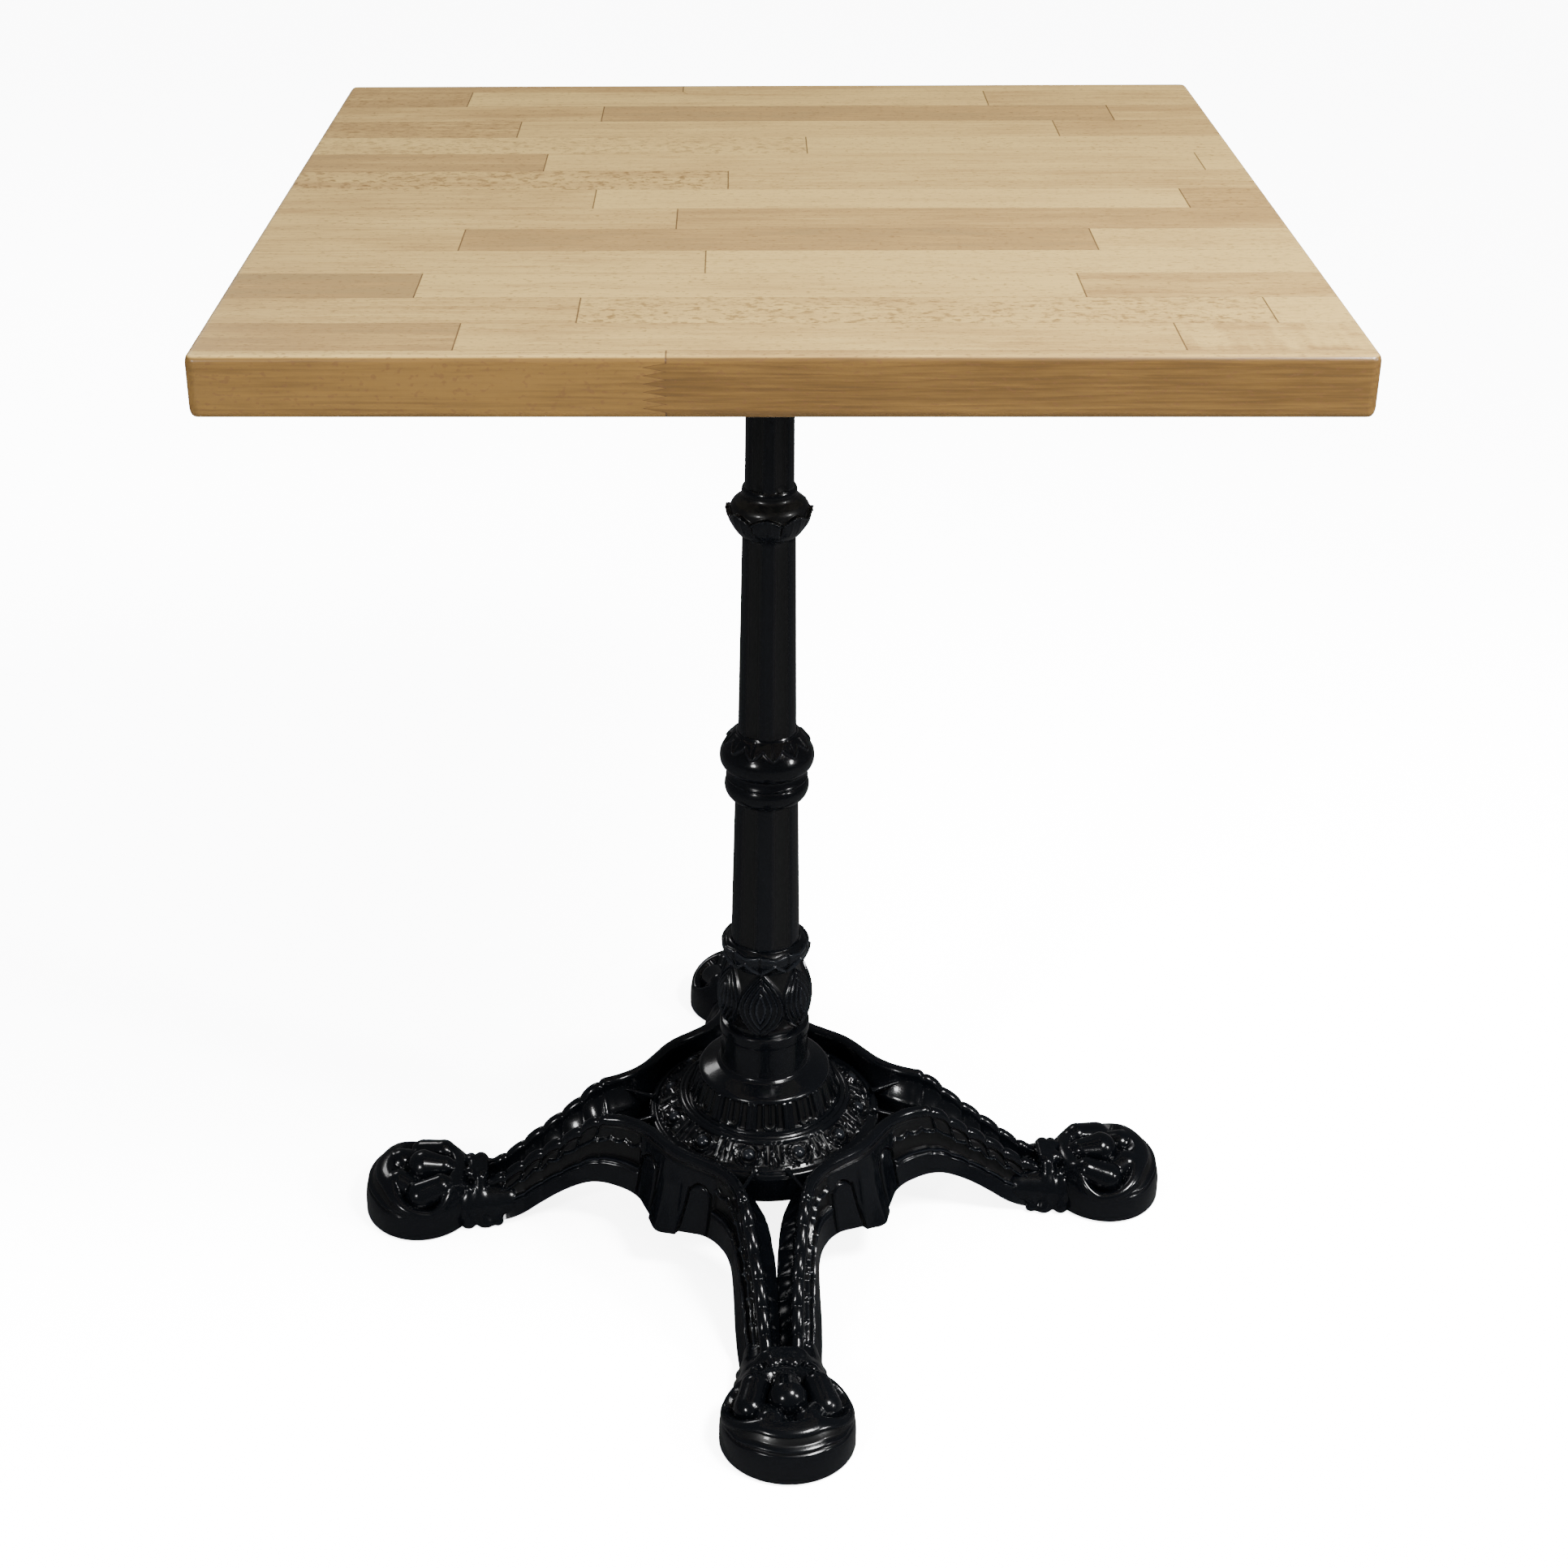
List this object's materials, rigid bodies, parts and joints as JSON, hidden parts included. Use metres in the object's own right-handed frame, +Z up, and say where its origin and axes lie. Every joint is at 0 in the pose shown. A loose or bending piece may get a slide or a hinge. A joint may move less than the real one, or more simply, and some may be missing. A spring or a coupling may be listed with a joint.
{
  "type": "bistro table",
  "caption": "Square bistro table: finger-jointed beech top on a fluted black cast-iron column, with a cross-shaped base of arched twin-rail legs ending in paws.",
  "frame": {"origin": "on the floor, under the centre of the square top and the axis of the column", "axes": "+Z up; the sides of the top lie along X and Y, its staves run along X; the base stands turned 3.1 degrees about Z"},
  "size_m": [0.6, 0.6, 0.76],
  "materials": {
    "beech_top": "satin varnish",
    "beech_edge": "satin varnish",
    "black_iron": "gloss black paint over sand-cast iron",
    "zinc_steel": "zinc plated",
    "glide_plastic": "moulded, matt"
  },
  "bodies": {
    "table": {"stave_row_01": "beech_edge", "stave_row_02": "beech_top", "stave_row_03": "beech_top", "stave_row_04": "beech_top", "stave_row_05": "beech_top", "stave_row_06": "beech_top", "stave_row_07": "beech_top", "stave_row_08": "beech_top", "stave_row_09": "beech_top", "stave_row_10": "beech_top", "stave_row_11": "beech_top", "stave_row_12": "beech_top", "stave_row_13": "beech_top", "stave_row_14": "beech_top", "stave_row_15": "beech_edge", "top_cross": "black_iron", "cross_screws": "zinc_steel", "column": "black_iron", "base_casting": "black_iron", "tie_rod": "zinc_steel", "tie_rod_washer": "zinc_steel", "tie_rod_nut": "zinc_steel"},
    "glide_front": {"glide_front": "glide_plastic"},
    "stud_front": {"stud_front": "zinc_steel"},
    "glide_right": {"glide_right": "glide_plastic"},
    "stud_right": {"stud_right": "zinc_steel"},
    "glide_back": {"glide_back": "glide_plastic"},
    "stud_back": {"stud_back": "zinc_steel"},
    "glide_left": {"glide_left": "glide_plastic"},
    "stud_left": {"stud_left": "zinc_steel"}
  },
  "joints": [
    {"name": "front_glide_travel", "type": "slide", "parent": "table", "child": "glide_front", "axis": [0, 0, -1], "range_m": [0, 0.008]},
    {"name": "front_stud_turn", "type": "hinge", "parent": "glide_front", "child": "stud_front", "pos_m": [0.01352, -0.24963, 0.02], "axis": [0, 0, -1], "range_deg": [0, 2300]},
    {"name": "right_glide_travel", "type": "slide", "parent": "table", "child": "glide_right", "axis": [0, 0, -1], "range_m": [0, 0.008]},
    {"name": "right_stud_turn", "type": "hinge", "parent": "glide_right", "child": "stud_right", "pos_m": [0.24963, 0.01352, 0.02], "axis": [0, 0, -1], "range_deg": [0, 2300]},
    {"name": "back_glide_travel", "type": "slide", "parent": "table", "child": "glide_back", "axis": [0, 0, -1], "range_m": [0, 0.008]},
    {"name": "back_stud_turn", "type": "hinge", "parent": "glide_back", "child": "stud_back", "pos_m": [-0.01352, 0.24963, 0.02], "axis": [0, 0, -1], "range_deg": [0, 2300]},
    {"name": "left_glide_travel", "type": "slide", "parent": "table", "child": "glide_left", "axis": [0, 0, -1], "range_m": [0, 0.008]},
    {"name": "left_stud_turn", "type": "hinge", "parent": "glide_left", "child": "stud_left", "pos_m": [-0.24963, -0.01352, 0.02], "axis": [0, 0, -1], "range_deg": [0, 2300]}
  ],
  "couplings": [
    {"joint": "front_glide_travel", "follows": "front_stud_turn", "m_per_rad": 0.00019894},
    {"joint": "right_glide_travel", "follows": "right_stud_turn", "m_per_rad": 0.00019894},
    {"joint": "back_glide_travel", "follows": "back_stud_turn", "m_per_rad": 0.00019894},
    {"joint": "left_glide_travel", "follows": "left_stud_turn", "m_per_rad": 0.00019894}
  ]
}
